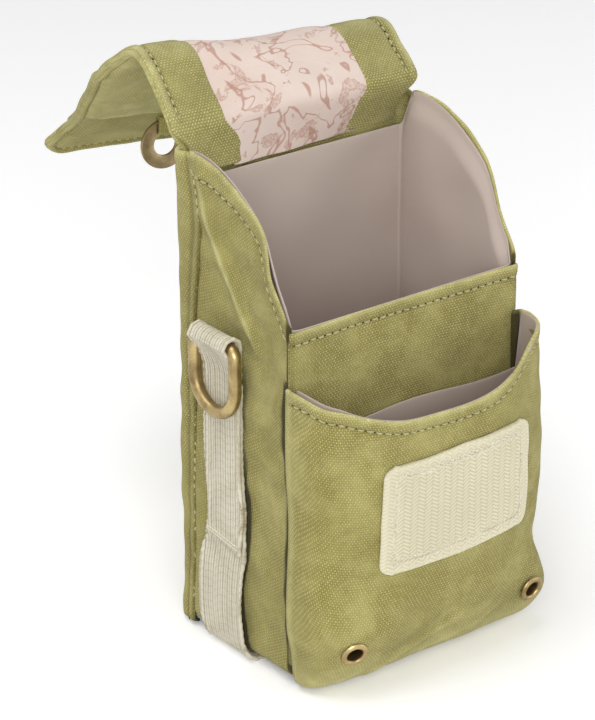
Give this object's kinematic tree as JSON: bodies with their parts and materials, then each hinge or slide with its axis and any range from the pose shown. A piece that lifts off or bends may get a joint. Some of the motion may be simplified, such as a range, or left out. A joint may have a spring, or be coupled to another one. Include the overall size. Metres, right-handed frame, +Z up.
{
  "type": "cable organizer pouch",
  "caption": "Padded canvas belt pouch for a small camera and cables, with a bulged front pocket, a webbing sling with D rings and a fold-over flap.",
  "frame": {"origin": "middle of the base, on the underside of the sling webbing", "axes": "+Z up, -Y towards the front pocket, +X to the right as seen from the front"},
  "size_m": [0.1004, 0.1887, 0.1742],
  "materials": {
    "canvas": "washed khaki green cotton canvas, plain weave with paler slubs and worn edges",
    "foam": "thin open-cell foam, matte",
    "lining": "smooth taupe polyester lining, slight sheen",
    "print": "pale pink cotton with a fine terracotta print",
    "webbing": "ecru cotton webbing with lengthwise ribs",
    "hook": "beige hook and loop tape in chevron rows, zigzag stitched",
    "brass": "antiqued brass, dark in the hollows, rubbed bright on the edges"
  },
  "bodies": {
    "pouch": {"back_panel": "canvas", "left_side_panel": "canvas", "right_side_panel": "canvas", "front_panel": "canvas", "bottom_panel": "canvas", "back_foam": "foam", "left_foam": "foam", "right_foam": "foam", "front_foam": "foam", "bottom_foam": "foam", "body_lining": "lining", "front_pocket": "canvas", "pocket_lining": "lining", "hook_patch": "hook", "left_eyelet": "brass", "left_eyelet_washer": "brass", "right_eyelet": "brass", "right_eyelet_washer": "brass", "sling_webbing": "webbing", "belt_loop": "webbing", "left_ring_loop": "webbing", "right_ring_loop": "webbing"},
    "left_ring": {"left_d_ring": "brass"},
    "right_ring": {"right_d_ring": "brass"},
    "flap_upper": {"flap_top_canvas": "canvas", "flap_top_lining": "print", "flap_top_left_facing": "canvas", "flap_top_right_facing": "canvas"},
    "flap_lower": {"flap_front_canvas": "canvas", "flap_front_lining": "print", "flap_front_left_facing": "canvas", "flap_front_right_facing": "canvas", "flap_overlay": "canvas"},
    "flap_tab": {"tab_canvas": "canvas", "tab_lining": "canvas", "tab_loop_pad": "hook"},
    "ring_pull": {"pull_ring": "brass", "ring_keeper": "canvas"}
  },
  "joints": [
    {"name": "flap_root_fold", "type": "hinge", "parent": "pouch", "child": "flap_upper", "pos_m": [0, 0.0245, 0.1565], "axis": [0.9962, -0.0872, 0], "range_deg": [0, 147.5]},
    {"name": "flap_crest_fold", "type": "hinge", "parent": "flap_upper", "child": "flap_lower", "pos_m": [0.0041, 0.04531, 0.17154], "axis": [0.9862, -0.1575, -0.0506], "range_deg": [0, 117]},
    {"name": "tab_fold", "type": "hinge", "parent": "flap_lower", "child": "flap_tab", "pos_m": [0.01251, 0.11315, 0.12447], "axis": [0.9862, -0.1575, -0.0506], "range_deg": [0, 41]},
    {"name": "pull_ring_swing", "type": "hinge", "parent": "flap_lower", "child": "ring_pull", "pos_m": [0.01141, 0.10558, 0.12658], "axis": [0.9862, -0.1575, -0.0506], "range_deg": [-69, 52]},
    {"name": "left_ring_swing", "type": "hinge", "parent": "pouch", "child": "left_ring", "pos_m": [-0.047, 0.0012, 0.1013], "axis": [0, 1, 0], "range_deg": [0, 150]},
    {"name": "right_ring_swing", "type": "hinge", "parent": "pouch", "child": "right_ring", "pos_m": [0.047, 0.0012, 0.1013], "axis": [0, -1, 0], "range_deg": [0, 150]}
  ],
  "couplings": [
    {"joint": "flap_crest_fold", "follows": "flap_root_fold", "ratio": 0.79322}
  ]
}
